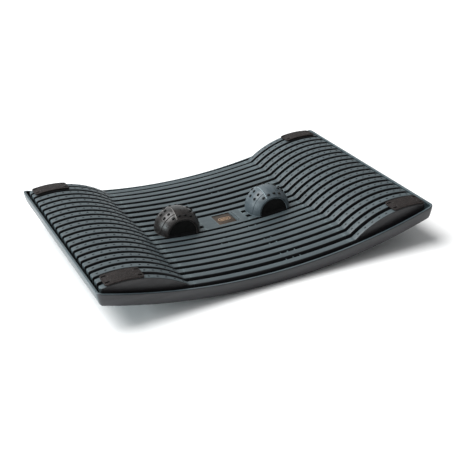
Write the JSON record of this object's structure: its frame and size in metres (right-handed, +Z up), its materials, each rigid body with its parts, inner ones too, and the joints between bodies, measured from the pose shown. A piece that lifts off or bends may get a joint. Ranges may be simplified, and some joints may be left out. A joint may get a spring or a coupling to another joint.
{
  "type": "balance board",
  "caption": "Rocking balance board for standing: curved tray, ribbed deck with two raised foot pillows, rubber corner pads and lift-off massage domes.",
  "frame": {"origin": "on the floor under the middle of the board, where the rocker touches it", "axes": "+X along the board's length, its rocking direction; +Y across it; +Z up"},
  "size_m": [0.505, 0.35, 0.0648],
  "materials": {
    "tray_plastic": "moulded, fine spark-eroded grain",
    "deck_plastic": "moulded, satin",
    "runner_rubber": "matte",
    "stud_rubber": "matte",
    "pad_rubber": "matte, grained",
    "badge_metal": "brushed, lacquered",
    "fastener_steel": "zinc plated",
    "rivet_steel": "polished",
    "dome_dark": "satin gloss",
    "dome_blue": "satin gloss",
    "dome_core_rubber": "matte",
    "dome_base_plastic": "matte"
  },
  "bodies": {
    "board": {"base_tray": "tray_plastic", "runner_strip_front": "runner_rubber", "runner_strip_back": "runner_rubber", "deck_screws": "fastener_steel", "top_deck": "deck_plastic", "left_pillow": "deck_plastic", "right_pillow": "deck_plastic", "left_studs": "stud_rubber", "right_studs": "stud_rubber", "badge_plate": "badge_metal", "grip_pad_front_left": "pad_rubber", "grip_pad_front_right": "pad_rubber", "grip_pad_back_left": "pad_rubber", "grip_pad_back_right": "pad_rubber", "pad_rivets": "rivet_steel"},
    "left_dome": {"left_dome_shell": "dome_dark", "left_dome_core": "dome_core_rubber", "left_dome_base": "dome_base_plastic", "left_dome_screws": "fastener_steel"},
    "right_dome": {"right_dome_shell": "dome_blue", "right_dome_core": "dome_core_rubber", "right_dome_base": "dome_base_plastic", "right_dome_screws": "fastener_steel"}
  },
  "joints": [
    {"name": "left_dome_lift", "type": "slide", "parent": "board", "child": "left_dome", "axis": [0.0744, 0, 0.9972], "range_m": [0, 0.03]},
    {"name": "right_dome_lift", "type": "slide", "parent": "board", "child": "right_dome", "axis": [-0.0744, 0, 0.9972], "range_m": [0, 0.03]}
  ]
}
